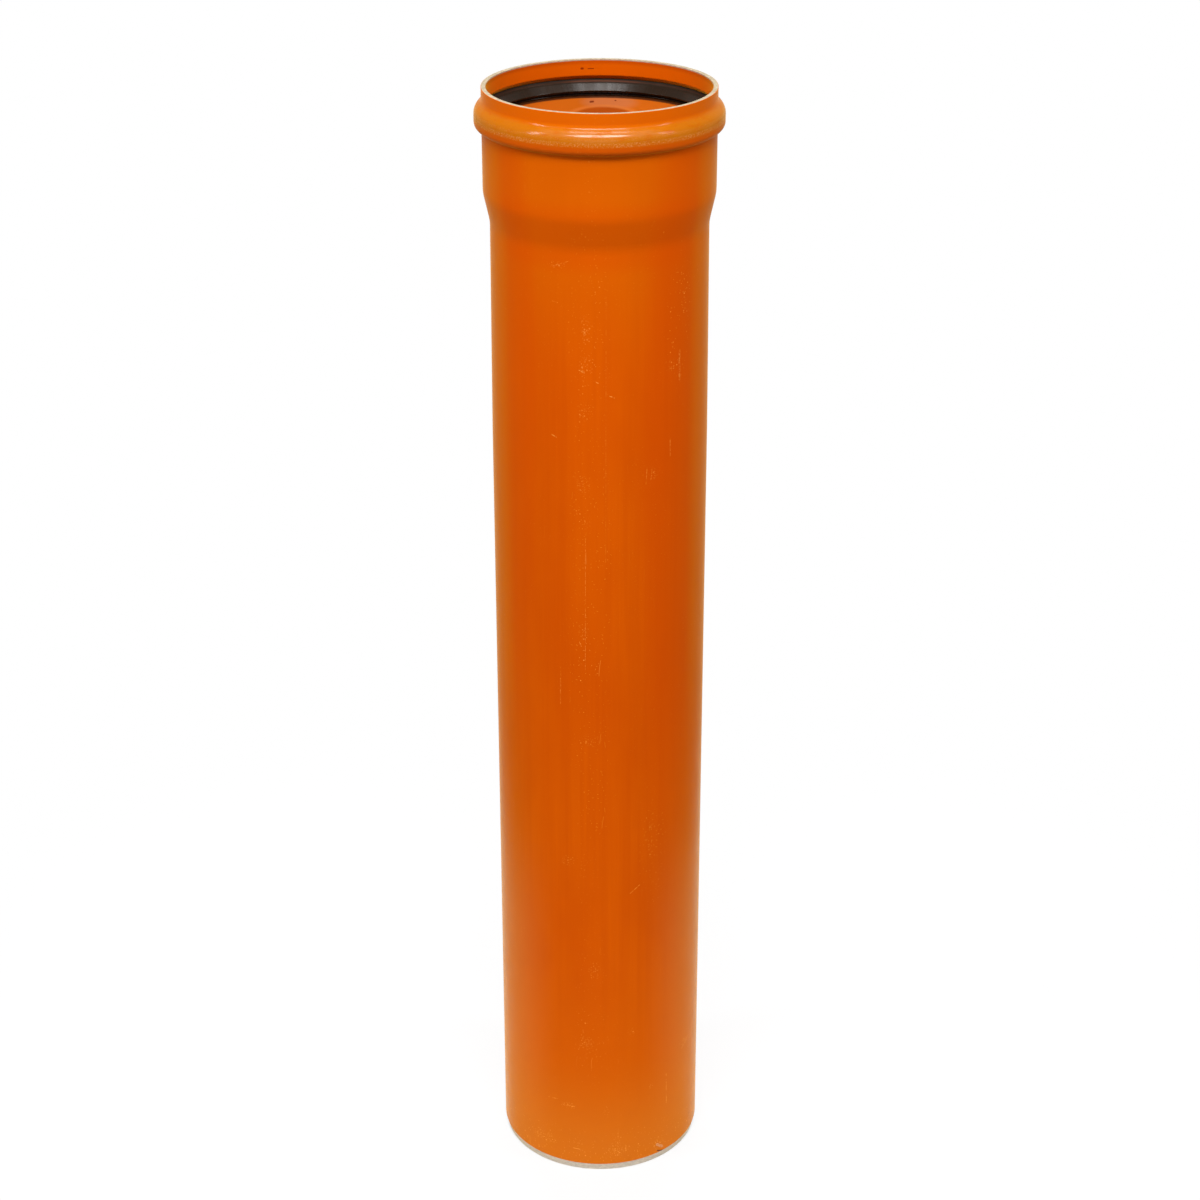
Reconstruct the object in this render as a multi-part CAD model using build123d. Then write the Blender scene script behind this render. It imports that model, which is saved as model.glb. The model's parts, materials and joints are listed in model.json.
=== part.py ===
from build123d import *
import os
from math import radians, sin, tan

# Plastic sewer pipe with a socket at its top end and a plain, chamfered end at its foot.
# The pipe's axis is Z, its foot stands at height 0, and all sizes are in millimetres.

# The straight pipe
outside_diameter = 200.0
pipe_wall = 4.9
laying_length = 1000.0        # the length of drain that one pipe adds
chamfer_length = 9.0
chamfer_angle = 15.0          # from the pipe's axis, in degrees
foot_edge = 0.3               # broken edge of the sawn end

# The socket, which takes the plain end of the next pipe
insertion_depth = 97.0        # how far the next pipe's end goes in
end_in_taper = 3.0            # how far that end stands in the taper
socket_clearance = 0.4        # round the next pipe, on the radius
socket_wall = 4.3
taper_length = 27.0           # from the socket down to the neck
taper_upper_rounding = 38.0
taper_lower_rounding = 44.0
neck_inset = 1.25             # how far the pipe is drawn in below the taper, on the radius
neck_length = 200.0           # over which it widens to its full size again
mouth_edge = 0.35             # broken edge of the socket's mouth

# The groove inside the socket for the sealing ring; slopes are degrees from the axis
groove_below_mouth = 15.0
groove_depth = 7.3
groove_floor_length = 11.0
groove_upper_slope = 52.0
groove_lower_slope = 67.5
groove_edge_rounding = 1.6
groove_corner_rounding = 2.4

# The bead, which is the groove's wall seen from outside
bead_wall = 3.8
bead_upper_slope = 44.0
bead_upper_foot_rounding = 7.0
bead_upper_rounding = 11.8
bead_lower_rounding = 5.5
bead_crease_rounding = 2.2

# The rubber sealing ring, seated in the groove
ring_clearance = 0.4          # between the ring and the groove
ring_base = 4.8               # radial thickness of the ring's base
ridge_inset = 3.6             # from the socket's bore out to the ring's top ridge
lip_root_inset = 1.9          # from the socket's bore out to the lip's root
lip_root_below_ridge = 3.4
lip_squeeze = 4.0             # how far the free lip stands inside the next pipe's outside
lip_slope = 45.0              # of the lip's face, in degrees from the axis
lip_thickness = 1.5
lip_edge_rounding = 0.6
heel_height = 2.4
heel_inset = 1.0              # from the socket's bore out to the heel
ring_rounding = 0.7

# Radii and heights that follow from them
outside_radius = outside_diameter / 2
inside_radius = outside_radius - pipe_wall
neck_radius = outside_radius - neck_inset
bore_radius = outside_radius + socket_clearance
socket_radius = bore_radius + socket_wall
groove_radius = bore_radius + groove_depth
bead_radius = groove_radius + bead_wall

mouth = laying_length + insertion_depth
taper_top = mouth - insertion_depth + end_in_taper
taper_bottom = taper_top - taper_length
neck_bottom = taper_bottom - neck_length
groove_top = mouth - groove_below_mouth
floor_top = groove_top - groove_depth / tan(radians(groove_upper_slope))
floor_bottom = floor_top - groove_floor_length
groove_bottom = floor_bottom - groove_depth / tan(radians(groove_lower_slope))

crest_top = floor_top + bead_wall * tan(radians(bead_upper_slope / 2))
crest_bottom = floor_bottom - bead_wall * tan(radians(groove_lower_slope / 2))
bead_stand = bead_radius - socket_radius
bead_top = crest_top + bead_stand / tan(radians(bead_upper_slope))
bead_bottom = crest_bottom - bead_stand / tan(radians(groove_lower_slope))


def rounding_that_fits(before, corner, after, rounding):
    """The rounding of a corner, kept to what half of its shorter side has room for."""
    one_side = Vector(before[0], before[1]) - Vector(corner[0], corner[1])
    other_side = Vector(after[0], after[1]) - Vector(corner[0], corner[1])
    half_angle = radians(one_side.get_angle(other_side) / 2)
    room = 0.49 * min(one_side.length, other_side.length)
    return min(rounding, room * tan(half_angle))


def turned(outline):
    """Solid turned about the Z axis from corners of (radius, height, rounding)."""
    befores = outline[-1:] + outline[:-1]
    afters = outline[1:] + outline[:1]
    roundings = [
        rounding_that_fits(before, corner, after, corner[2])
        for before, corner, after in zip(befores, outline, afters)
    ]
    corners = [(radius, 0, height) for radius, height, rounding in outline]
    section = make_face(FilletPolyline(*corners, radius=roundings, close=True))
    return revolve(section, axis=Axis.Z)


def pipe():
    """The pipe with its socket, bead, neck and chamfered end, formed from one extruded length."""
    inside = [
        (bore_radius, mouth, mouth_edge),
        (bore_radius, groove_top, groove_edge_rounding),
        (groove_radius, floor_top, groove_corner_rounding),
        (groove_radius, floor_bottom, groove_corner_rounding),
        (bore_radius, groove_bottom, groove_edge_rounding),
        (bore_radius, taper_top, taper_upper_rounding),
        (neck_radius - pipe_wall, taper_bottom, taper_lower_rounding),
        (inside_radius, neck_bottom, 0),
        (inside_radius, 0, foot_edge),
    ]
    chamfer_depth = chamfer_length * tan(radians(chamfer_angle))
    outside = [
        (outside_radius - chamfer_depth, 0, foot_edge),
        (outside_radius, chamfer_length, 0),
        (outside_radius, neck_bottom, 0),
        (neck_radius, taper_bottom, taper_lower_rounding),
        (socket_radius, taper_top, taper_upper_rounding),
        (socket_radius, bead_bottom, bead_crease_rounding),
        (bead_radius, crest_bottom, bead_lower_rounding),
        (bead_radius, crest_top, bead_upper_rounding),
        (socket_radius, bead_top, bead_upper_foot_rounding),
        (socket_radius, mouth, mouth_edge),
    ]
    return turned(inside + outside)


def under_upper_slope(radius):
    """Height of the ring's upper side, just clear of the groove's upper slope."""
    slope = radians(groove_upper_slope)
    return groove_top - (radius - bore_radius) / tan(slope) - ring_clearance / sin(slope)


def above_lower_slope(radius):
    """Height of the ring's lower side, just clear of the groove's lower slope."""
    slope = radians(groove_lower_slope)
    return groove_bottom + (radius - bore_radius) / tan(slope) + ring_clearance / sin(slope)


def sealing_ring():
    """The rubber ring: a base that fills the groove, a top ridge, a lip and a heel."""
    ring_outside = groove_radius - ring_clearance
    base_inside = ring_outside - ring_base
    ridge = bore_radius + ridge_inset
    ridge_top = under_upper_slope(ridge)
    lip_root = bore_radius + lip_root_inset
    lip_root_height = ridge_top - lip_root_below_ridge
    lip_edge = outside_radius - lip_squeeze
    slope = radians(lip_slope)
    lip_edge_height = lip_root_height - (lip_root - lip_edge) / tan(slope)
    under_edge = lip_edge + lip_thickness * tan(slope / 2)
    under_edge_height = lip_edge_height - lip_thickness
    under_root_height = under_edge_height + (base_inside - under_edge) / tan(slope)
    heel = bore_radius + heel_inset
    heel_bottom = above_lower_slope(heel)
    section = [
        (ring_outside, under_upper_slope(ring_outside), groove_corner_rounding),
        (ridge, ridge_top, ring_rounding),
        (lip_root, lip_root_height, ring_rounding),
        (lip_edge, lip_edge_height, lip_edge_rounding),
        (under_edge, under_edge_height, lip_edge_rounding),
        (base_inside, under_root_height, ring_rounding),
        (base_inside, heel_bottom + heel_height, ring_rounding),
        (heel, heel_bottom + heel_height / 2, ring_rounding),
        (heel, heel_bottom, ring_rounding),
        (ring_outside, above_lower_slope(ring_outside), groove_corner_rounding),
    ]
    return turned(section)


os.makedirs("parts", exist_ok=True)
export_step(pipe(), "parts/pipe.step")
export_step(sealing_ring(), "parts/sealing_ring.step")
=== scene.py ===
import json
from math import ceil, cos, pi, radians, sin, tan

import bpy
from mathutils import Euler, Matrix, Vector

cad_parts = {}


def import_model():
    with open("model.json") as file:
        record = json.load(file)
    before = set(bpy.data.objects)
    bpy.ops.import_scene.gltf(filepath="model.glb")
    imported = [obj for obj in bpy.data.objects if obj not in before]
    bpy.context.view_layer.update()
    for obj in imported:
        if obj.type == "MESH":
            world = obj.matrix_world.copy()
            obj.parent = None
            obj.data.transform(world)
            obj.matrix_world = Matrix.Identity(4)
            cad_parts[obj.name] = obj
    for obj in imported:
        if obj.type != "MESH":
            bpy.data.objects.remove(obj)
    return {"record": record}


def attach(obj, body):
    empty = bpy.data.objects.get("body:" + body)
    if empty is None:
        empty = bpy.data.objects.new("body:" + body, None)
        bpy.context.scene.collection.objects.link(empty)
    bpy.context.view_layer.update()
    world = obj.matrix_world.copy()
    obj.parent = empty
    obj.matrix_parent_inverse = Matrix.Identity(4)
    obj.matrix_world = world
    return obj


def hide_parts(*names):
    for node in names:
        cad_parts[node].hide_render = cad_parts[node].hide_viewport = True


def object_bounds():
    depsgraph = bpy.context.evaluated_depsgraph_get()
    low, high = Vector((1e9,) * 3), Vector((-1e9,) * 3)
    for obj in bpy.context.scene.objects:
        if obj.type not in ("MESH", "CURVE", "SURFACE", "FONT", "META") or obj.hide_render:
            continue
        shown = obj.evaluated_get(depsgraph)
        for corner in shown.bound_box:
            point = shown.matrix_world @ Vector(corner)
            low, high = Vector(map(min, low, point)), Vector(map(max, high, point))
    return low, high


# Plastic sewer pipe standing on its plain end, in metres. The pipe and its sealing ring are
# turned again as fine meshes, and their finish is worked out by shader nodes.

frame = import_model()
cad_low, cad_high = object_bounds()
MM = 0.001
mounts = {mount["name"]: mount for mount in frame["record"]["mounts"]}

# Sizes of the straight pipe and the socket that the frame gives
mouth = cad_high.z
outside_radius = mounts["spigot"]["dims"]["r_mm"] * MM
inside_radius = mounts["flow_bore"]["dims"]["r_mm"] * MM
bore_radius = mounts["socket"]["dims"]["r_mm"] * MM
chamfer_length = mounts["spigot"]["pos_m"][2]
neck_bottom = chamfer_length + mounts["spigot"]["dims"]["length_mm"] * MM
pipe_wall = outside_radius - inside_radius

# Sizes of the plain end, the neck, the taper and the socket
chamfer_angle = radians(15)
foot_edge = 0.3 * MM
chamfer_edge = 0.25 * MM
taper_top = mouth - 94.0 * MM
taper_bottom = mouth - 121.0 * MM
taper_upper_rounding = 38 * MM
taper_lower_rounding = 44 * MM
neck_rounding = 900 * MM
neck_radius = outside_radius - 1.25 * MM
socket_radius = bore_radius + 4.3 * MM
mouth_edge = 0.35 * MM

# The groove inside and the bead outside
groove_top = mouth - 15.0 * MM
groove_radius = bore_radius + 7.3 * MM
groove_upper_slope = radians(52)
groove_lower_slope = radians(67.5)
groove_edge_rounding = 1.6 * MM
groove_corner_rounding = 2.4 * MM
floor_top = groove_top - (groove_radius - bore_radius) / tan(groove_upper_slope)
floor_bottom = floor_top - 11.0 * MM
groove_bottom = floor_bottom - (groove_radius - bore_radius) / tan(groove_lower_slope)
bead_wall = 3.8 * MM
bead_radius = groove_radius + bead_wall
bead_upper_slope = radians(44)
bead_upper_foot_rounding = 7.0 * MM
bead_upper_rounding = 11.8 * MM
bead_lower_rounding = 5.5 * MM
bead_crease_rounding = 2.2 * MM
crest_top = floor_top + bead_wall * tan(bead_upper_slope / 2)
crest_bottom = floor_bottom - bead_wall * tan(groove_lower_slope / 2)
bead_top = crest_top + (bead_radius - socket_radius) / tan(bead_upper_slope)
bead_bottom = crest_bottom - (bead_radius - socket_radius) / tan(groove_lower_slope)

# The sealing ring
ring_clearance = 0.4 * MM
ring_outside = groove_radius - ring_clearance
ring_base_inside = ring_outside - 4.8 * MM
ridge_radius = bore_radius + 3.6 * MM
lip_root_radius = bore_radius + 1.9 * MM
lip_root_below_ridge = 3.4 * MM
lip_edge_radius = outside_radius - 4.0 * MM
lip_slope = radians(45)
lip_thickness = 1.5 * MM
lip_edge_rounding = 0.6 * MM
heel_radius = bore_radius + 1.0 * MM
heel_height = 2.4 * MM
ring_rounding = 0.7 * MM

# How finely the meshes are turned
round_steps = 360
turn_step = radians(6)
longest_run = 60 * MM
edge_support = 0.25 * MM

# Colours of the outside, linear
orange = (0.605, 0.081, 0.0002, 1)
orange_deep = (0.57, 0.070, 0.0001, 1)
orange_light = (0.64, 0.094, 0.0002, 1)
# painted shade: redder sides and taper
shade_red_orange = (0.59, 0.062, 0.0001, 1)
# painted light from above, lifting the upper pipe towards the socket
top_lit_orange = (0.595, 0.101, 0.0003, 1)
# painted golden light from above on the collar
collar_lit_orange = (0.605, 0.099, 0.0005, 1)
# painted golden reflection at the sides
side_reflection_gold = (0.61, 0.125, 0.0006, 1)
# painted bounce light from the floor, low down
low_bounce_orange = (0.60, 0.097, 0.001, 1)
# painted warm reflection on the lower sides, weak and strong
low_reflection_weak = (0.62, 0.118, 0.001, 1)
low_reflection_strong = (0.68, 0.180, 0.034, 1)
orange_shade = (0.38, 0.046, 0.001, 1)
bead_amber = (0.50, 0.122, 0.0004, 1)
bead_upper = (0.455, 0.120, 0.0004, 1)
bead_grime = (0.45, 0.080, 0.002, 1)
# painted shade in the bead's crease, red as in orange bounce light
crease_shade_red = (0.50, 0.058, 0.0015, 1)
# dust at the foot with painted bounce light from the floor
foot_dust_and_bounce = (0.62, 0.158, 0.008, 1)
dust_gold = (1.0, 0.62, 0.05, 1)

# Colours of the marks
scuffed = (0.82, 0.30, 0.045, 1)
abraded = (0.60, 0.23, 0.06, 1)
bruise_pale = (0.66, 0.36, 0.18, 1)
nick_brown = (0.16, 0.04, 0.015, 1)
smudge_red = (0.12, 0.006, 0.002, 1)
# painted shadow under the ring, also black rubbed off it
ring_shadow_and_rubber_mark = (0.02, 0.008, 0.006, 1)

# Colours inside the socket and on the sawn ends
# painted shade on the inner wall
inside_shade_orange = (0.56, 0.083, 0.0003, 1)
# painted light: golden glow on the inner wall below the ring
bore_glow_orange = (0.64, 0.155, 0.010, 1)
# painted glare on the back wall below the ring
bore_glare = (0.61, 0.200, 0.064, 1)
# painted highlight line and painted dark reflection on the back wall
bore_reflection_edge = (0.74, 0.225, 0.040, 1)
bore_dark_reflection = (0.46, 0.085, 0.006, 1)
# one core material: painted darker at the mouth as shade and paler at the foot as light
shaded_mouth_core = (0.29, 0.25, 0.19, 1)
shaded_mouth_core_pale = (0.42, 0.365, 0.28, 1)
lit_foot_core = (0.49, 0.435, 0.36, 1)
lit_foot_core_pale = (0.66, 0.585, 0.49, 1)
skin_thickness = 0.3 * MM

# Colours of the rubber
rubber_black = (0.014, 0.0065, 0.002, 1)
rubber_worn = (0.022, 0.011, 0.005, 1)
# painted reflection of the orange wall on the ring's ridge
ridge_reflection_brown = (0.090, 0.026, 0.011, 1)

# Gloss
pipe_specular = 0.004
rubber_specular = 0.10
skin_ior = 1.7
pipe_skin_roughness = 0.15
rubber_skin_roughness = 0.24
dust_weight = 0.3
dust_roughness = 0.4

# How a soft spot's edge fades, in squares of its half size
soft_edge = (1.3, 0.25)

# Single marks that the photo shows: from and to, each degrees round the pipe and height in
# metres, and width in mm
single_strokes = [
    ((31.5, 0.9840), (33.2, 0.9885), 1.2),
    ((-7.60, 0.705), (-7.90, 0.570), 0.35),
    ((-24.0, 0.9600), (-15.8, 0.9655), 0.4),
    ((24.6, 0.755), (25.2, 0.772), 0.5),
    ((27.4, 0.758), (28.2, 0.771), 0.5),
    ((-25.8, 0.8030), (-22.9, 0.8012), 1.0),
    ((5.2, 0.8425), (7.4, 0.8407), 1.1),
    ((-10.6, 0.8664), (-8.5, 0.8646), 0.9),
    ((-3.0, 0.8566), (-0.8, 0.8548), 0.9),
    ((-24.7, 0.9277), (-22.0, 0.9269), 0.9),
    ((16.9, 0.3277), (22.8, 0.3358), 1.0),
    ((-31.9, 0.081), (-25.8, 0.082), 0.8),
    ((-20.1, 0.0775), (-15.2, 0.077), 0.8),
    ((-16.6, 0.0256), (-11.1, 0.0249), 0.9),
    ((42.0, 0.1016), (42.4, 0.0643), 0.8),
]
pale_scrapes = [
    ((45.6, 0.875), (46.0, 0.848), 3.5),
    ((39.4, 0.794), (39.5, 0.777), 1.6),
    ((55.8, 0.1196), (63.0, 0.127), 2.4),
    ((-21.6, 0.572), (-21.9, 0.532), 1.2),
    ((3.2, 0.935), (3.0, 0.680), 0.4),
]
mouth_smudges = [
    ((-171.2, 1.0886), (-170.5, 1.0886), 2.2),
    ((-174, 1.0884), (-176.8, 1.0883), 1.0),
    ((-176.6, 1.0578), (-175.2, 1.0576), 2.0),
    ((171.4, 1.059), (171.8, 1.059), 1.2),
]
foot_bruise = [((35.6, 0.0185), (39.6, 0.0130), 3.4)]
foot_nick = [((35.8, 0.0107), (42.8, 0.0055), 1.7)]

# Long patches of wear: degrees round the pipe, height in metres, half width and half height in mm
worn_bands = [
    (-5.2, 0.66, 22, 460),
    (-8.0, 0.90, 16, 60),
    (44.7, 0.90, 20, 60),
    (30.4, 0.37, 16, 70),
    (-4.6, 0.20, 24, 110),
    (134.6, 0.55, 30, 450),
    (-123.2, 0.40, 24, 300),
]

# Places where short scratches lie close together, in the same units
scratch_clusters = [
    (-22.4, 0.961, 9, 4),
    (-7.2, 0.905, 5, 13),
    (-6.8, 0.870, 7, 9),
    (-7.5, 0.828, 9, 9),
    (-8.6, 0.758, 7, 10),
    (-7.0, 0.722, 5, 8),
    (40.0, 0.863, 4, 7),
    (49.0, 0.916, 4, 8),
    (28.8, 0.764, 5, 6),
    (-8.5, 0.610, 7, 8),
    (-4.5, 0.498, 10, 7),
    (-18.1, 0.364, 8, 6),
    (-3.4, 0.242, 6, 12),
    (-7.8, 0.155, 8, 8),
    (18.7, 0.167, 5, 4),
    (30.5, 0.094, 4, 3),
    (-19.5, 0.077, 9, 4),
    (3.5, 0.073, 3, 8),
    (29.0, 0.385, 3, 22),
    (58.0, 0.125, 8, 5),
    (10.0, 0.025, 14, 8),
    (-35.0, 0.030, 16, 7),
    (36.0, 0.020, 8, 7),
    (-160.0, 0.420, 12, 20),
    (130.0, 0.210, 14, 12),
]

# Studio: the fill of the world, and the lamps by name with azimuth, elevation, distance, width,
# height, radiance and shape
world_fill = 0.2
floor_reach = 1.2
lamp_settings = [
    ("key_softbox", -1, 47, 2.8, 2.3, 0.86, 11.6, "ELLIPSE"),
    ("overhead_softbox", -2, 76, 2.8, 1.9, 0.45, 9.0, "ELLIPSE"),
    ("front_fill", -4, 8, 3.2, 2.4, 1.6, 1.5, "RECTANGLE"),
    ("left_strip", -66, 28, 2.6, 0.4, 1.0, 23.0, "RECTANGLE"),
    ("right_strip", 68, 28, 2.6, 0.4, 1.0, 19.0, "RECTANGLE"),
    ("back_softbox", 180, 49, 2.8, 2.2, 0.42, 21.0, "RECTANGLE"),
]

# The photo's view: from eye height, looking down along +Y, with a slight lean
camera_place = (0, -2.2182, 1.6222)
camera_down = 24.787
camera_lean = -0.05
camera_lens = 76.19
camera_sensor = 36


def arc_of(before, corner, after, rounding):
    """Points of a rounded corner, kept to what half of its shorter side has room for."""
    here = Vector(corner)
    back = Vector(before) - here
    on = Vector(after) - here
    angle = back.angle(on)
    reach = min(rounding / tan(angle / 2), 0.49 * back.length, 0.49 * on.length)
    radius = reach * tan(angle / 2)
    centre = here + (back.normalized() + on.normalized()).normalized() * radius / sin(angle / 2)
    start = here + back.normalized() * reach - centre
    turn = pi - angle
    if start.cross(here + on.normalized() * reach - centre) < 0:
        turn = -turn
    steps = max(2, ceil(abs(turn) / turn_step))
    points = []
    for step in range(steps + 1):
        c, s = cos(turn * step / steps), sin(turn * step / steps)
        points.append(centre + Vector((start.x * c - start.y * s, start.x * s + start.y * c)))
    return points


def outline(corners):
    """Rings (radius, height, number of the last corner) round an outline of rounded corners."""
    count = len(corners)
    arcs = []
    for number, corner in enumerate(corners):
        before, after = corners[number - 1], corners[(number + 1) % count]
        arcs.append(arc_of(before[:2], corner[:2], after[:2], corner[2]))
    rings = []
    for number, arc in enumerate(arcs):
        rings += [(point.x, point.y, number) for point in arc]
        start, end = arc[-1], arcs[(number + 1) % count][0]
        run = (end - start).length
        if run < 4 * edge_support:
            continue
        inner = max(1, ceil((run - 2 * edge_support) / longest_run))
        for step in range(inner + 1):
            along = edge_support + (run - 2 * edge_support) * step / inner
            point = start.lerp(end, along / run)
            rings.append((point.x, point.y, number))
    return rings


def turned(name, rings, values):
    """Mesh object turned about Z from an outline, with float attributes given ring by ring."""
    count = len(rings)
    vertices = []
    for radius, height, corner in rings:
        for step in range(round_steps):
            angle = 2 * pi * step / round_steps
            vertices.append((radius * sin(angle), -radius * cos(angle), height))
    faces = []
    for ring in range(count):
        here, there = ring * round_steps, (ring + 1) % count * round_steps
        for step in range(round_steps):
            beside = (step + 1) % round_steps
            faces.append((here + step, here + beside, there + beside, there + step))
    mesh = bpy.data.meshes.new(name)
    mesh.from_pydata(vertices, [], faces)
    for attribute, per_ring in values.items():
        layer = mesh.attributes.new(attribute, "FLOAT", "POINT")
        spread = [value for value in per_ring for step in range(round_steps)]
        layer.data.foreach_set("value", spread)
    mesh.validate()
    mesh.shade_smooth()
    piece = bpy.data.objects.new(name, mesh)
    bpy.context.scene.collection.objects.link(piece)
    return piece


def pipe_piece():
    """The pipe: inside from the mouth down, the sawn foot, and outside up to the mouth again."""
    chamfer_depth = chamfer_length * tan(chamfer_angle)
    inside = [
        (bore_radius, mouth, mouth_edge),
        (bore_radius, groove_top, groove_edge_rounding),
        (groove_radius, floor_top, groove_corner_rounding),
        (groove_radius, floor_bottom, groove_corner_rounding),
        (bore_radius, groove_bottom, groove_edge_rounding),
        (bore_radius, taper_top, taper_upper_rounding),
        (neck_radius - pipe_wall, taper_bottom, taper_lower_rounding),
        (inside_radius, neck_bottom, neck_rounding),
        (inside_radius, 0, foot_edge),
    ]
    outside = [
        (outside_radius - chamfer_depth, 0, foot_edge),
        (outside_radius, chamfer_length, chamfer_edge),
        (outside_radius, neck_bottom, neck_rounding),
        (neck_radius, taper_bottom, taper_lower_rounding),
        (socket_radius, taper_top, taper_upper_rounding),
        (socket_radius, bead_bottom, bead_crease_rounding),
        (bead_radius, crest_bottom, bead_lower_rounding),
        (bead_radius, crest_top, bead_upper_rounding),
        (socket_radius, bead_top, bead_upper_foot_rounding),
        (socket_radius, mouth, mouth_edge),
    ]
    rings = outline(inside + outside)
    sawn_mouth, sawn_foot = mouth - mouth_edge / 2, chamfer_length
    in_wall = []
    within = []
    for radius, height, corner in rings:
        depth = 0
        if height > sawn_mouth:
            depth = min(radius - bore_radius, socket_radius - radius)
        elif height < sawn_foot:
            depth = min(radius - inside_radius, outside_radius - radius)
        in_wall.append(max(depth, 0) / MM)
        within.append(1 if corner < len(inside) else 0)
    return turned("pipe_body", rings, {"depth_in_wall": in_wall, "within": within})


def under_upper_slope(radius):
    """Height of the ring's upper side, just clear of the groove's upper slope."""
    rise = (radius - bore_radius) / tan(groove_upper_slope)
    return groove_top - rise - ring_clearance / sin(groove_upper_slope)


def above_lower_slope(radius):
    """Height of the ring's lower side, just clear of the groove's lower slope."""
    rise = (radius - bore_radius) / tan(groove_lower_slope)
    return groove_bottom + rise + ring_clearance / sin(groove_lower_slope)


def ring_piece():
    """The rubber ring, with its top ridge, its lip and its heel."""
    ridge_top = under_upper_slope(ridge_radius)
    lip_root_height = ridge_top - lip_root_below_ridge
    lip_edge_height = lip_root_height - (lip_root_radius - lip_edge_radius) / tan(lip_slope)
    under_edge = lip_edge_radius + lip_thickness * tan(lip_slope / 2)
    under_edge_height = lip_edge_height - lip_thickness
    under_root_height = under_edge_height + (ring_base_inside - under_edge) / tan(lip_slope)
    heel_bottom = above_lower_slope(heel_radius)
    rings = outline([
        (ring_outside, under_upper_slope(ring_outside), groove_corner_rounding),
        (ridge_radius, ridge_top, ring_rounding),
        (lip_root_radius, lip_root_height, ring_rounding),
        (lip_edge_radius, lip_edge_height, lip_edge_rounding),
        (under_edge, under_edge_height, lip_edge_rounding),
        (ring_base_inside, under_root_height, ring_rounding),
        (ring_base_inside, heel_bottom + heel_height, ring_rounding),
        (heel_radius, heel_bottom + heel_height / 2, ring_rounding),
        (heel_radius, heel_bottom, ring_rounding),
        (ring_outside, above_lower_slope(ring_outside), groove_corner_rounding),
    ])
    return turned("sealing_ring_body", rings, {})


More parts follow.
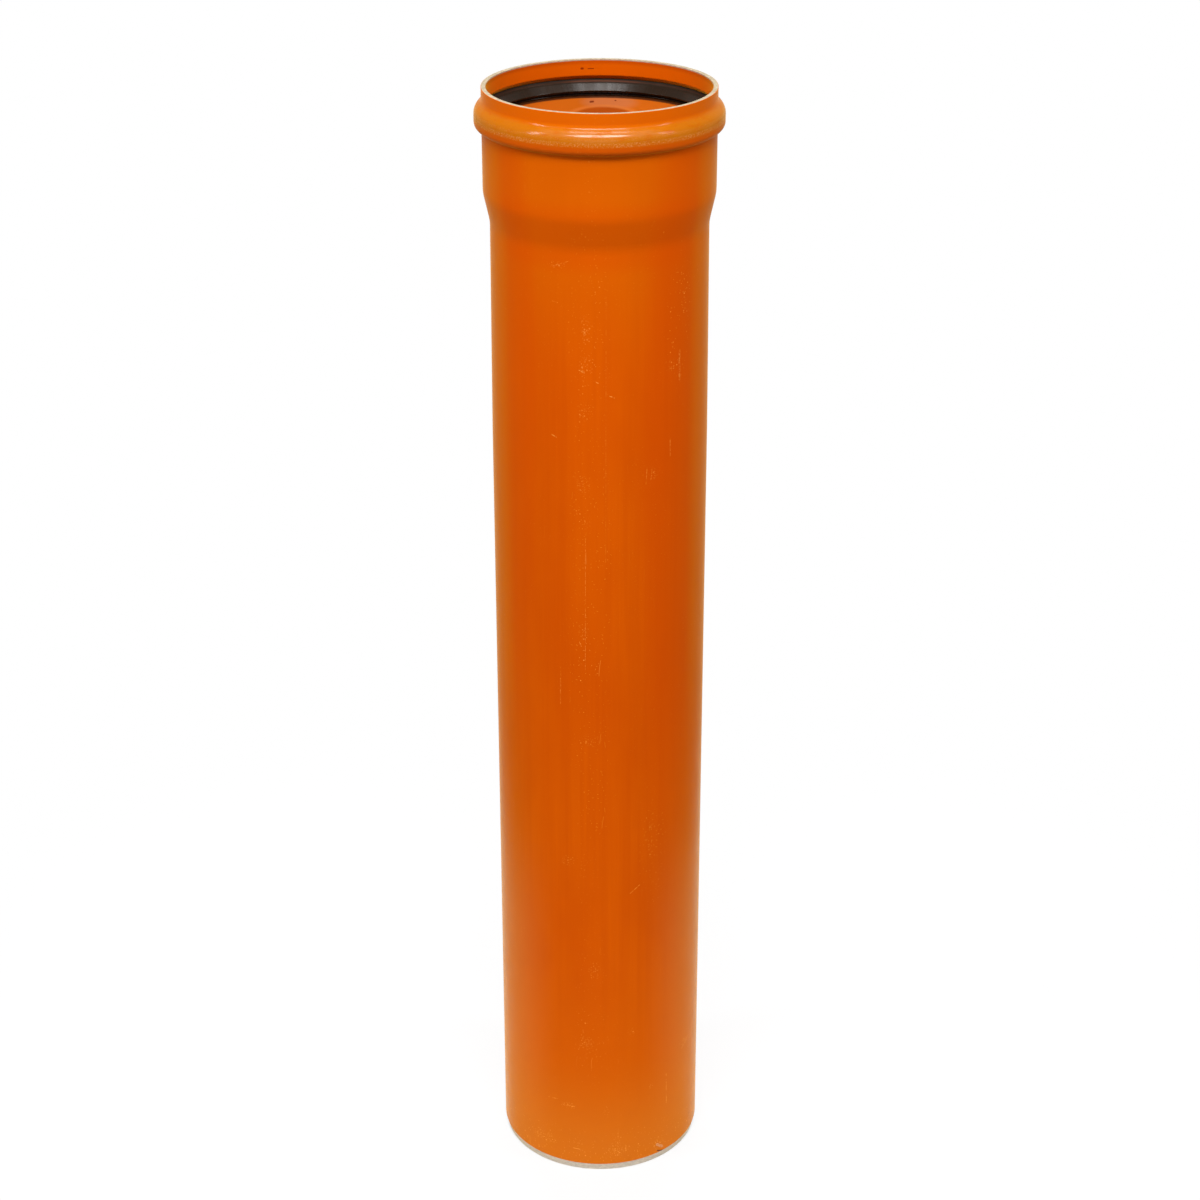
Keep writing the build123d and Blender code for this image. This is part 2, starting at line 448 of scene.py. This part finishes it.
class Recipe:
    """A material's node tree, with short words for the nodes that it uses."""

    def __init__(self, name):
        self.material = bpy.data.materials.new(name)
        self.material.use_nodes = True
        self.tree = self.material.node_tree
        self.tree.nodes.clear()
        self.place = self.node("ShaderNodeTexCoord").outputs["Object"]

    def node(self, kind, **settings):
        made = self.tree.nodes.new(kind)
        for name, value in settings.items():
            setattr(made, name, value)
        return made

    def feed(self, socket, value):
        if isinstance(value, bpy.types.NodeSocket):
            self.tree.links.new(value, socket)
        else:
            socket.default_value = value

    def math(self, operation, *values):
        made = self.node("ShaderNodeMath", operation=operation)
        for socket, value in zip(made.inputs, values):
            self.feed(socket, value)
        return made.outputs["Value"]

    def times(self, first, *others):
        """The product of several values."""
        for value in others:
            first = self.math("MULTIPLY", first, value)
        return first

    def highest(self, first, *others):
        """The highest of several values."""
        for value in others:
            first = self.math("MAXIMUM", first, value)
        return first

    def clamped(self, value):
        """The value kept between 0 and 1, by a node of its own: a Math node's clamp takes more
        of the renderer's stack than this material has."""
        made = self.node("ShaderNodeClamp")
        self.feed(made.inputs["Value"], value)
        return made.outputs["Result"]

    def vector(self, operation, *values):
        made = self.node("ShaderNodeVectorMath", operation=operation)
        for socket, value in zip(made.inputs, values):
            self.feed(socket, value)
        one_number = operation in ("LENGTH", "DOT_PRODUCT", "DISTANCE")
        return made.outputs["Value" if one_number else "Vector"]

    def scaled(self, value, factor):
        made = self.node("ShaderNodeVectorMath", operation="SCALE")
        self.feed(made.inputs[0], value)
        self.feed(made.inputs["Scale"], factor)
        return made.outputs["Vector"]

    def split(self, value):
        """The X, Y and Z of a place."""
        made = self.node("ShaderNodeSeparateXYZ")
        self.feed(made.inputs[0], value)
        return made.outputs["X"], made.outputs["Y"], made.outputs["Z"]

    def step(self, value, start, end, low=0.0, high=1.0):
        """A smooth step of value, from low at start to high at end."""
        made = self.node("ShaderNodeMapRange", interpolation_type="SMOOTHSTEP")
        for socket, number in zip(made.inputs, (value, start, end, low, high)):
            self.feed(socket, number)
        return made.outputs["Result"]

    def mix(self, share, first, second):
        made = self.node("ShaderNodeMix", data_type="RGBA")
        self.feed(made.inputs["Factor"], share)
        self.feed(made.inputs[6], first)
        self.feed(made.inputs[7], second)
        return made.outputs[2]

    def noise(self, place, scale, detail=2.0, roughness=0.5):
        made = self.node("ShaderNodeTexNoise")
        self.feed(made.inputs["Vector"], place)
        self.feed(made.inputs["Scale"], scale)
        self.feed(made.inputs["Detail"], detail)
        self.feed(made.inputs["Roughness"], roughness)
        return made.outputs["Fac"]

    def off_centre(self, value, centre, half):
        """How far value is from a centre, squared, in squares of a half size."""
        off = self.math("DIVIDE", self.math("SUBTRACT", value, centre), half)
        return self.math("MULTIPLY", off, off)

    def near(self, value, centre, half):
        """A soft band, 1 where value is at the centre."""
        return self.step(self.off_centre(value, centre, half), *soft_edge)

    def spot(self, across, centre, half_width, height, level, half_height, edge=soft_edge):
        """A soft oval spot, 1 at its centre."""
        sideways = self.off_centre(across, centre, half_width)
        upwards = self.off_centre(height, level, half_height)
        return self.step(self.math("ADD", sideways, upwards), *edge)

    def attribute(self, name):
        return self.node("ShaderNodeAttribute", attribute_name=name).outputs["Fac"]

    def stretched(self, along_z):
        """The place on the object, drawn out along its axis."""
        return self.vector("MULTIPLY", self.place, (1, 1, along_z))

    def surface(self, colour, roughness, normal, specular, skin, skin_roughness, dust=0.0):
        """Principled surface, with a thin hard skin of even gloss as its coat, and fine dust on it."""
        shader = self.node("ShaderNodeBsdfPrincipled")
        self.feed(shader.inputs["Base Color"], colour)
        self.feed(shader.inputs["Roughness"], roughness)
        self.feed(shader.inputs["Normal"], normal)
        shader.inputs["Specular IOR Level"].default_value = specular
        self.feed(shader.inputs["Coat Weight"], skin)
        self.feed(shader.inputs["Coat Normal"], normal)
        shader.inputs["Coat IOR"].default_value = skin_ior
        shader.inputs["Coat Roughness"].default_value = skin_roughness
        if dust:
            shader.inputs["Sheen Weight"].default_value = dust
            shader.inputs["Sheen Roughness"].default_value = dust_roughness
            shader.inputs["Sheen Tint"].default_value = dust_gold
        output = self.node("ShaderNodeOutputMaterial")
        self.tree.links.new(shader.outputs["BSDF"], output.inputs["Surface"])
        return self.material

    def bump(self, height, strength, distance, normal=None):
        made = self.node("ShaderNodeBump")
        self.feed(made.inputs["Height"], height)
        made.inputs["Strength"].default_value = strength
        made.inputs["Distance"].default_value = distance
        if normal is not None:
            self.feed(made.inputs["Normal"], normal)
        return made.outputs["Normal"]


def round_by(degrees):
    """Metres round the pipe's outside from its front."""
    return radians(degrees) * outside_radius


class Wall:
    """Where a point of the pipe is: laid flat, round it and up it, inside or outside."""

    def __init__(self, recipe):
        self.x, self.y, self.height = recipe.split(recipe.place)
        angle = recipe.math("ARCTAN2", self.x, recipe.math("MULTIPLY", self.y, -1.0))
        self.around = recipe.math("MULTIPLY", angle, outside_radius)
        self.sideways = recipe.math("ABSOLUTE", self.around)
        laid_flat = recipe.node("ShaderNodeCombineXYZ")
        recipe.feed(laid_flat.inputs["X"], self.around)
        recipe.feed(laid_flat.inputs["Y"], self.height)
        self.flat = laid_flat.outputs[0]
        self.inner = recipe.attribute("within")
        self.outer = recipe.math("SUBTRACT", 1.0, self.inner)
        self.low_down = recipe.step(self.height, 0.56, 0.29)
        under_ring = recipe.step(self.height, mouth - 30 * MM, mouth - 34 * MM)
        self.below_ring = recipe.times(under_ring, self.inner)


def scattered(recipe, flat, cell, length, width, share, offset, spread=pi):
    """Scratches, one at most in each cell, upright or turned by up to half the spread."""
    moved = recipe.vector("ADD", recipe.scaled(flat, 1 / cell), (offset, offset, 0))
    cells = recipe.node("ShaderNodeTexVoronoi", voronoi_dimensions="2D")
    recipe.feed(cells.inputs["Vector"], moved)
    cells.inputs["Scale"].default_value = 1
    away = recipe.vector("SUBTRACT", moved, cells.outputs["Position"])
    chance = recipe.node("ShaderNodeSeparateColor")
    recipe.feed(chance.inputs[0], cells.outputs["Color"])
    turn = recipe.node("ShaderNodeVectorRotate", rotation_type="Z_AXIS")
    recipe.feed(turn.inputs["Vector"], away)
    lean = recipe.times(recipe.math("SUBTRACT", chance.outputs["Red"], 0.5), spread)
    recipe.feed(turn.inputs["Angle"], recipe.math("ADD", lean, pi / 2))
    lengthwise, sideways, _ = recipe.split(turn.outputs[0])
    along = recipe.math("ABSOLUTE", lengthwise)
    bend = recipe.times(along, along, 0.12)
    across = recipe.math("ABSOLUTE", recipe.math("SUBTRACT", sideways, bend))
    reach = recipe.times(chance.outputs["Green"], length / cell / 2)
    inside = recipe.step(recipe.math("SUBTRACT", reach, along), 0.0, 0.04)
    thin = recipe.step(across, width / cell / 2, width / cell / 6)
    kept = recipe.math("LESS_THAN", chance.outputs["Blue"], share)
    return recipe.times(inside, thin, kept)


def specks(recipe, spacing, size, share):
    """Small round specks, in a share of the cells, of uneven size."""
    cells = recipe.node("ShaderNodeTexVoronoi")
    recipe.feed(cells.inputs["Vector"], recipe.place)
    cells.inputs["Scale"].default_value = 1 / spacing
    chance = recipe.node("ShaderNodeSeparateColor")
    recipe.feed(chance.inputs[0], cells.outputs["Color"])
    radius = recipe.times(chance.outputs["Red"], size / spacing)
    inside = recipe.step(recipe.math("SUBTRACT", radius, cells.outputs["Distance"]), 0.0, 0.05)
    kept = recipe.math("LESS_THAN", chance.outputs["Green"], share)
    return recipe.times(inside, kept)


def strokes(recipe, flat, marks):
    """Straight marks on the wall, each (from, to, width). Gaps are measured in widths."""
    nearest = None
    for start, end, width in marks:
        scale = 1 / (width * MM)
        first = Vector((round_by(start[0]), start[1], 0)) * scale
        span = Vector((round_by(end[0]), end[1], 0)) * scale - first
        away = recipe.vector("MULTIPLY_ADD", flat, (scale, scale, 0), -first)
        share = recipe.math("DIVIDE", recipe.vector("DOT_PRODUCT", away, span), span.length_squared)
        nearest_point = recipe.scaled(span, recipe.clamped(share))
        gap = recipe.vector("DISTANCE", away, nearest_point)
        nearest = recipe.math("MINIMUM", nearest, gap) if nearest else gap
    return recipe.step(nearest, 0.6, 0.25)


def ovals(recipe, flat, places):
    """Soft oval patches of the wall, each (degrees round, height, half width, half height)."""
    nearest = None
    for degrees, level, half_width, half_height in places:
        scale = (1 / (half_width * MM), 1 / (half_height * MM), 0)
        centre = (-round_by(degrees) * scale[0], -level * scale[1], 0)
        off = recipe.vector("MULTIPLY_ADD", flat, scale, centre)
        far = recipe.vector("DOT_PRODUCT", off, off)
        nearest = recipe.math("MINIMUM", nearest, far) if nearest else far
    return recipe.step(nearest, *soft_edge)


def drawn_tone(recipe, lines):
    """Broad unevenness and draw lines of the extruded wall."""
    cloud = recipe.noise(recipe.stretched(0.35), 14, 3, 0.55)
    tone = recipe.mix(recipe.step(cloud, 0.3, 0.7), orange_deep, orange_light)
    tone = recipe.mix(recipe.step(lines, 0.35, 0.75, 0.1, 0.7), tone, orange)
    drawn = recipe.noise(recipe.stretched(0.03), 120, 2, 0.5)
    return recipe.mix(recipe.step(drawn, 0.42, 0.68, 0.0, 0.45), tone, orange_deep)


def painted_light_tone(recipe, wall, tone):
    """Painted light and shade: light from above towards the socket, bounce light towards the foot, shade
    at the sides and on the taper, and golden reflection at the sides and low down.
    """
    height, sideways = wall.height, wall.sideways
    # painted light from above towards the socket
    tone = recipe.mix(recipe.step(height, 0.84, 0.99, 0.0, 0.75), tone, top_lit_orange)
    # painted shade: redder bands at the sides, stronger on the right
    right = recipe.spot(wall.around, 85 * MM, 50 * MM, height, 0.74, 0.46)
    left = recipe.spot(wall.around, -88 * MM, 30 * MM, height, 0.84, 0.34)
    painted_side_shade = recipe.highest(recipe.times(right, 0.65), recipe.times(left, 0.5))
    tone = recipe.mix(painted_side_shade, tone, shade_red_orange)
    # painted bounce light from the floor, lighter towards the foot
    tone = recipe.mix(recipe.step(height, 0.30, 0.10, 0.0, 0.75), tone, low_bounce_orange)
    # painted shade on the taper, whose surface tilts down away from the light
    on_taper = recipe.near(height, taper_bottom + 10 * MM, 32 * MM)
    tone = recipe.mix(recipe.times(on_taper, 0.4), tone, shade_red_orange)
    # painted golden reflection along the sides of the upper body
    at_side = recipe.near(sideways, round_by(74), 34 * MM)
    above = recipe.step(height, 0.40, 0.62, 0.0, 0.48)
    tone = recipe.mix(recipe.times(at_side, above), tone, side_reflection_gold)
    # painted warm reflection on the sides low down, strongest near the floor and weaker at the rear
    turned_away = recipe.step(sideways, round_by(22), round_by(78))
    at_rear = recipe.step(sideways, 130 * MM, 220 * MM, 0.85, 0.5)
    faded = recipe.mix(recipe.step(height, 0.42, 0.25), low_reflection_weak, low_reflection_strong)
    return recipe.mix(recipe.times(turned_away, wall.low_down, at_rear), tone, faded)


def formed_tone(recipe, wall, tone, mottled):
    """Painted golden light on the collar, the amber bead, painted shade under the bead and in its
    crease, and dust with painted bounce light at the foot.
    """
    height, outer = wall.height, wall.outer
    # painted golden light from above on the collar
    golden = recipe.step(height, mouth - 42 * MM, mouth - 30 * MM)
    tone = recipe.mix(recipe.times(golden, outer), tone, collar_lit_orange)
    shade = recipe.step(height, bead_bottom - 11 * MM, bead_bottom - 1 * MM, 0.0, 0.24)
    under_bead = recipe.step(height, bead_bottom + 3 * MM, bead_bottom)
    shade = recipe.math("MINIMUM", shade, under_bead)
    tone = recipe.mix(recipe.times(shade, outer), tone, orange_shade)
    low = recipe.step(height, bead_bottom - 1 * MM, bead_bottom + 2 * MM)
    high = recipe.step(height, bead_top + 3 * MM, bead_top - 3 * MM)
    upper = recipe.step(height, crest_top - 7 * MM, crest_top - 2 * MM)
    amber = recipe.mix(upper, bead_amber, bead_upper)
    amber = recipe.mix(recipe.step(mottled, 0.50, 0.72, 0.0, 0.6), amber, bead_grime)
    tone = recipe.mix(recipe.times(low, high, outer), tone, amber)
    # dust at the foot, with painted bounce light from the floor
    dusty_and_bounce_lit = recipe.step(height, 0.15, 0.0, 0.0, 0.8)
    tone = recipe.mix(recipe.times(dusty_and_bounce_lit, outer), tone, foot_dust_and_bounce)
    # painted shade in the crease below the bead's crest
    under_crest = recipe.step(height, crest_bottom + 11 * MM, crest_bottom + 4 * MM, 0.0, 0.8)
    above_crease = recipe.step(height, bead_bottom - 2 * MM, bead_bottom + 2 * MM)
    return recipe.mix(recipe.times(under_crest, above_crease, outer), tone, crease_shade_red)


def inside_tone(recipe, wall, tone):
    """Painted shade on the inner wall and under the mouth's edge; below the ring a painted glow, with a
    painted glare and a painted dark reflection with a lit edge line at the back.
    """
    height, inner = wall.height, wall.inner
    # painted shade on the whole inner wall
    tone = recipe.mix(recipe.times(inner, 0.9), tone, inside_shade_orange)
    shaded = recipe.step(height, mouth - 6 * MM, mouth - 2 * MM, 0.0, 0.6)
    tone = recipe.mix(recipe.times(shaded, inner), tone, orange_shade)
    # painted light: a golden glow on the inner wall below the ring
    tone = recipe.mix(recipe.times(wall.below_ring, 0.9), tone, bore_glow_orange)
    at_back = recipe.times(recipe.step(wall.y, 60 * MM, 80 * MM), wall.below_ring)
    # painted glare on the back wall below the ring
    painted_glare = recipe.spot(wall.x, 9 * MM, 27 * MM, height, mouth - 39 * MM, 8 * MM)
    tone = recipe.mix(recipe.times(painted_glare, at_back, 0.85), tone, bore_glare)
    # painted dark reflection in an oval lower on the back wall, with a painted highlight along its edge
    oval = (wall.x, 4 * MM, 32 * MM, height, mouth - 54 * MM, 10 * MM)
    dark = recipe.spot(*oval, (1.15, 0.7))
    edge = recipe.clamped(recipe.math("SUBTRACT", recipe.spot(*oval, (1.7, 1.1)), dark))
    tone = recipe.mix(recipe.times(edge, at_back, 0.6), tone, bore_reflection_edge)
    return recipe.mix(recipe.times(dark, at_back), tone, bore_dark_reflection)


def scuff_mask(recipe, wall, crumbs):
    """Single marks, pale scrapes, fine scratches and specks all over, and clusters of them."""
    flat, height = wall.flat, wall.height
    broken = recipe.step(crumbs, 0.42, 0.58)
    single = recipe.times(strokes(recipe, flat, single_strokes), broken, 0.85)
    hatched = recipe.noise(recipe.stretched(0.15), 700, 2, 0.6)
    hatched = recipe.step(hatched, 0.42, 0.60, 0.1, 0.45)
    scrapes = recipe.times(strokes(recipe, flat, pale_scrapes), broken, hatched)

    # Wear is thicker in patches and towards the foot
    blotches = recipe.step(recipe.noise(recipe.stretched(0.6), 17, 2, 0.5), 0.46, 0.62)
    uneven = recipe.math("MULTIPLY_ADD", blotches, 0.6, 0.4)
    in_bands = recipe.times(ovals(recipe, flat, worn_bands), uneven, 0.85)
    near_foot = recipe.step(height, 0.065, 0.015)
    worn = recipe.highest(in_bands, near_foot, recipe.times(blotches, 0.12))
    fine = recipe.highest(
        scattered(recipe, flat, 4 * MM, 2.0 * MM, 0.45 * MM, 0.4, 3.7),
        scattered(recipe, flat, 23 * MM, 20 * MM, 0.4 * MM, 0.2, 14.9, 0.25),
        specks(recipe, 3 * MM, 0.75 * MM, 0.5),
    )
    dense = recipe.highest(
        scattered(recipe, flat, 2.0 * MM, 1.7 * MM, 0.45 * MM, 0.75, 2.6),
        specks(recipe, 2.2 * MM, 0.85 * MM, 0.5),
    )
    fainter_above = recipe.step(height, 0.55, 0.28, 0.5, 1.0)
    dense = recipe.times(dense, ovals(recipe, flat, scratch_clusters), fainter_above)
    scuffs = recipe.highest(single, scrapes, recipe.times(fine, worn), dense)
    return recipe.times(scuffs, recipe.math("MULTIPLY_ADD", wall.outer, 0.8, 0.2))


def rubbed_mask(recipe, wall):
    """The speckled band rubbed round the bead below its crest, and a fainter one above it."""
    main = recipe.near(wall.height, crest_bottom + 8.8 * MM, 2.2 * MM)
    upper = recipe.times(recipe.near(wall.height, crest_bottom + 13.6 * MM, 1.4 * MM), 0.3)
    grit = recipe.step(recipe.noise(recipe.place, 900, 3, 0.7), 0.46, 0.66)
    return recipe.times(recipe.highest(main, upper), wall.outer, grit, 0.85)


def core_mask(recipe, wall):
    """Where the core shows on the sawn ends, between thin orange skins."""
    ragged = recipe.math("SUBTRACT", recipe.noise(recipe.place, 1500, 2, 0.5), 0.5)
    depth = recipe.math("MULTIPLY_ADD", ragged, 0.25, recipe.attribute("depth_in_wall"))
    core = recipe.step(depth, 0.8 * skin_thickness / MM, 1.2 * skin_thickness / MM)
    trimmed = recipe.step(wall.height, mouth - 1.5 * MM, mouth - 0.8 * MM, 0.0, 0.85)
    return recipe.highest(core, recipe.times(trimmed, wall.inner))


def core_tone(recipe, wall, saw):
    """The core's colour, uneven from the saw, with painted shade at the mouth and painted light at the
    foot.
    """
    at_foot = recipe.math("LESS_THAN", wall.height, mouth / 2)
    dark = recipe.mix(at_foot, shaded_mouth_core, lit_foot_core)
    light = recipe.mix(at_foot, shaded_mouth_core_pale, lit_foot_core_pale)
    return recipe.mix(recipe.step(saw, 0.35, 0.7), dark, light)


def polish_of(recipe, wall, mottled):
    """How far the hard skin shines: on the bead, on the lower sides and a little at the foot."""
    height, sideways = wall.height, wall.sideways
    polish = recipe.step(height, crest_top - 7 * MM, crest_top - 3 * MM, 0.012, 0.15)
    glints = recipe.highest(recipe.near(height, mouth - 17.2 * MM, 2.4 * MM),
                            recipe.near(height, mouth - 12.1 * MM, 0.9 * MM))
    central = recipe.step(sideways, 34 * MM, 58 * MM, 0.42, 0.0)
    polish = recipe.math("MULTIPLY_ADD", glints, central, polish)
    polish = recipe.times(polish, recipe.step(sideways, 38 * MM, 60 * MM, 1.0, 0.6))
    up_to_collar = recipe.step(height, bead_top - 1.2 * MM, bead_top + 0.4 * MM, 0.6, 0.02)
    polish = recipe.math("MINIMUM", polish, up_to_collar)
    far_side = recipe.step(sideways, round_by(52), round_by(82), 0.0, 0.26)
    polish = recipe.math("MULTIPLY_ADD", far_side, wall.low_down, polish)
    polish = recipe.math("ADD", polish, recipe.step(height, 0.12, 0.0, 0.0, 0.04))
    return recipe.times(polish, recipe.step(mottled, 0.44, 0.62, 1.0, 0.45))


def pipe_material():
    """Orange pipe plastic with fine draw lines, specks and wear, and a pale core where sawn."""
    recipe = Recipe("orange_pipe_plastic")
    wall = Wall(recipe)
    lines = recipe.noise(recipe.stretched(0.012), 420, 3, 0.6)
    mottled = recipe.noise(recipe.stretched(2.5), 75, 3, 0.65)
    crumbs = recipe.noise(recipe.place, 450, 3, 0.7)
    saw = recipe.noise(recipe.stretched(3), 260, 3, 0.65)
    ripple = recipe.noise(recipe.stretched(0.5), 160, 2, 0.5)

    tone = drawn_tone(recipe, lines)
    tone = painted_light_tone(recipe, wall, tone)
    tone = formed_tone(recipe, wall, tone, mottled)
    tone = inside_tone(recipe, wall, tone)

    # Scuffs, the rubbed bead, and the pale bruise beside the chip at the foot
    scuffs = scuff_mask(recipe, wall, crumbs)
    rubbed = rubbed_mask(recipe, wall)
    colour = recipe.mix(scuffs, tone, scuffed)
    colour = recipe.mix(rubbed, colour, abraded)
    bruise = strokes(recipe, wall.flat, foot_bruise)
    bruise = recipe.times(bruise, recipe.step(crumbs, 0.36, 0.54), wall.outer, 0.75)
    colour = recipe.mix(bruise, colour, bruise_pale)

    # Painted shadow under the ring that is also black rubbed off it, dark red smudges inside the mouth,
    # and the foot's chip
    shadow_and_rubbed_black = recipe.step(wall.height, mouth - 36.4 * MM, mouth - 35.2 * MM, 0.0, 0.9)
    shadow_and_rubbed_black = recipe.times(shadow_and_rubbed_black, wall.below_ring)
    colour = recipe.mix(shadow_and_rubbed_black, colour, ring_shadow_and_rubber_mark)
    smudges = recipe.times(strokes(recipe, wall.flat, mouth_smudges), wall.inner, 0.8)
    colour = recipe.mix(smudges, colour, smudge_red)
    nick = recipe.times(strokes(recipe, wall.flat, foot_nick), wall.outer)
    colour = recipe.mix(nick, colour, nick_brown)
    core = core_mask(recipe, wall)
    colour = recipe.mix(core, colour, core_tone(recipe, wall, saw))

    # Smooth skin, duller where rubbed or sawn
    dull = recipe.highest(scuffs, rubbed, core)
    whole = recipe.math("SUBTRACT", 1.0, dull)
    roughness = recipe.step(dull, 0.0, 1.0, 0.27, 0.62)
    skin = recipe.times(whole, polish_of(recipe, wall, mottled))
    normal = recipe.bump(lines, 0.06, 0.05 * MM)
    normal = recipe.bump(ripple, 0.10, 0.06 * MM, normal)
    normal = recipe.bump(whole, 0.25, 0.06 * MM, normal)
    normal = recipe.bump(recipe.times(saw, core), 0.35, 0.12 * MM, normal)
    return recipe.surface(colour, roughness, normal, pipe_specular, skin, pipe_skin_roughness,
                          dust_weight)


def rubber_material():
    """Black seal rubber: satin, with a mould grain, a painted brown reflection along the ridge and a
    polished back.
    """
    recipe = Recipe("black_seal_rubber")
    x, y, height = recipe.split(recipe.place)
    cloud = recipe.noise(recipe.stretched(2), 26, 3, 0.6)
    grain = recipe.noise(recipe.place, 1600, 2, 0.6)
    outwards = recipe.vector("NORMALIZE", recipe.vector("MULTIPLY", recipe.place, (1, 1, 0)))
    streaks = recipe.noise(recipe.scaled(outwards, outside_radius), 70, 2, 0.6)

    ridge_top = under_upper_slope(ridge_radius)
    colour = recipe.mix(recipe.step(cloud, 0.4, 0.75), rubber_black, rubber_worn)
    # painted reflection of the orange wall along the ring's ridge, stronger at the back
    line = recipe.times(recipe.step(height, ridge_top - 3.1 * MM, ridge_top - 2.6 * MM),
                        recipe.step(height, ridge_top - 1.5 * MM, ridge_top - 2.0 * MM))
    at_back = recipe.spot(x, 2 * MM, 38 * MM, y, 105 * MM, 60 * MM)
    line = recipe.times(line, recipe.math("MULTIPLY_ADD", at_back, 0.75, 0.2))
    colour = recipe.mix(line, colour, ridge_reflection_brown)

    matt = recipe.step(height, ridge_top - 5.0 * MM, ridge_top - 3.8 * MM, 0.0, 0.3)
    roughness = recipe.math("ADD", recipe.step(streaks, 0.35, 0.65, 0.20, 0.29), matt)
    polished = recipe.spot(x, -12 * MM, 58 * MM, y, 105 * MM, 60 * MM)
    below_ridge = recipe.step(height, ridge_top - 3.6 * MM, ridge_top - 4.4 * MM)
    skin = recipe.times(polished, recipe.step(streaks, 0.35, 0.65, 0.30, 0.14), below_ridge)
    normal = recipe.bump(grain, 0.25, 0.05 * MM)
    return recipe.surface(colour, roughness, normal, rubber_specular, skin, rubber_skin_roughness)


def seen_directly(recipe):
    """1 for rays that show the surroundings: from the camera, a mirror or glass."""
    path = recipe.node("ShaderNodeLightPath")
    shown = recipe.math("ADD", path.outputs["Is Camera Ray"], path.outputs["Is Glossy Ray"])
    shown = recipe.math("ADD", shown, path.outputs["Is Transmission Ray"])
    return recipe.math("MINIMUM", shown, 1.0)


def floor():
    """A pale floor that shows as white, keeps the pipe's soft shadow and fades out round it."""
    mesh = bpy.data.meshes.new("floor")
    corners = [
        (-floor_reach, -floor_reach, 0),
        (floor_reach, -floor_reach, 0),
        (floor_reach, floor_reach, 0),
        (-floor_reach, floor_reach, 0),
    ]
    mesh.from_pydata(corners, [], [(0, 1, 2, 3)])
    plane = bpy.data.objects.new("floor", mesh)
    bpy.context.scene.collection.objects.link(plane)
    recipe = Recipe("pale_floor")
    away = recipe.vector("LENGTH", recipe.place)
    clear = recipe.node("ShaderNodeBsdfTransparent")
    matt = recipe.node("ShaderNodeBsdfDiffuse")
    matt.inputs["Color"].default_value = (0.8, 0.8, 0.8, 1)
    white = recipe.node("ShaderNodeEmission")
    white.inputs["Strength"].default_value = 1.0
    both = recipe.node("ShaderNodeMixShader")
    beside_pipe = recipe.step(away, inside_radius, outside_radius, 0.0, 0.86)
    recipe.feed(both.inputs[0], recipe.times(seen_directly(recipe), beside_pipe))
    recipe.tree.links.new(matt.outputs[0], both.inputs[1])
    recipe.tree.links.new(white.outputs[0], both.inputs[2])
    faded = recipe.node("ShaderNodeMixShader")
    recipe.feed(faded.inputs[0], recipe.step(away, 0.35, 1.0))
    recipe.tree.links.new(both.outputs[0], faded.inputs[1])
    recipe.tree.links.new(clear.outputs[0], faded.inputs[2])
    output = recipe.node("ShaderNodeOutputMaterial")
    recipe.tree.links.new(faded.outputs[0], output.inputs["Surface"])
    mesh.materials.append(recipe.material)


def world():
    """White behind everything that is looked at, and a plain soft fill on the object."""
    made = bpy.data.worlds.new("studio")
    bpy.context.scene.world = made
    made.use_nodes = True
    tree = made.node_tree
    tree.nodes.clear()
    path = tree.nodes.new("ShaderNodeLightPath")
    shown = tree.nodes.new("ShaderNodeMath")
    tree.links.new(path.outputs["Is Camera Ray"], shown.inputs[0])
    tree.links.new(path.outputs["Is Glossy Ray"], shown.inputs[1])
    seen = tree.nodes.new("ShaderNodeMath")
    seen.use_clamp = True
    tree.links.new(shown.outputs[0], seen.inputs[0])
    tree.links.new(path.outputs["Is Transmission Ray"], seen.inputs[1])
    strength = tree.nodes.new("ShaderNodeMapRange")
    strength.inputs["To Min"].default_value = world_fill
    strength.inputs["To Max"].default_value = 1.0
    tree.links.new(seen.outputs[0], strength.inputs["Value"])
    background = tree.nodes.new("ShaderNodeBackground")
    background.inputs["Color"].default_value = (1, 1, 1, 1)
    tree.links.new(strength.outputs[0], background.inputs["Strength"])
    output = tree.nodes.new("ShaderNodeOutputWorld")
    tree.links.new(background.outputs[0], output.inputs["Surface"])


def softbox(name, azimuth, elevation, distance, width, height, radiance, shape):
    """A soft area lamp that lights the mouth from an azimuth and elevation in degrees."""
    lamp = bpy.data.lights.new(name, "AREA")
    lamp.shape = shape
    lamp.size = width
    lamp.size_y = height
    lamp.energy = radiance * pi * width * height
    made = bpy.data.objects.new(name, lamp)
    bpy.context.scene.collection.objects.link(made)
    a, e = radians(azimuth), radians(elevation)
    away = Vector((sin(a) * cos(e), -cos(a) * cos(e), sin(e)))
    made.location = Vector((0, 0, mouth)) + away * distance
    made.rotation_euler = away.to_track_quat("Z", "Y").to_euler()


def camera():
    """The photo's view."""
    data = bpy.data.cameras.new("camera")
    data.sensor_width = camera_sensor
    data.lens = camera_lens
    data.clip_end = 200
    made = bpy.data.objects.new("camera", data)
    bpy.context.scene.collection.objects.link(made)
    made.location = camera_place
    pitch = Euler((radians(90 - camera_down), 0, 0)).to_matrix()
    roll = Euler((0, 0, radians(camera_lean))).to_matrix()
    made.rotation_euler = (pitch @ roll).to_euler()
    bpy.context.scene.camera = made


pipe = pipe_piece()
pipe.data.materials.append(pipe_material())
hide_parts("pipe")
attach(pipe, "root")

ring = ring_piece()
ring.data.materials.append(rubber_material())
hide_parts("sealing_ring")
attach(ring, "root")

floor()
world()
for settings in lamp_settings:
    softbox(*settings)
camera()
bpy.context.scene.view_settings.view_transform = "Standard"
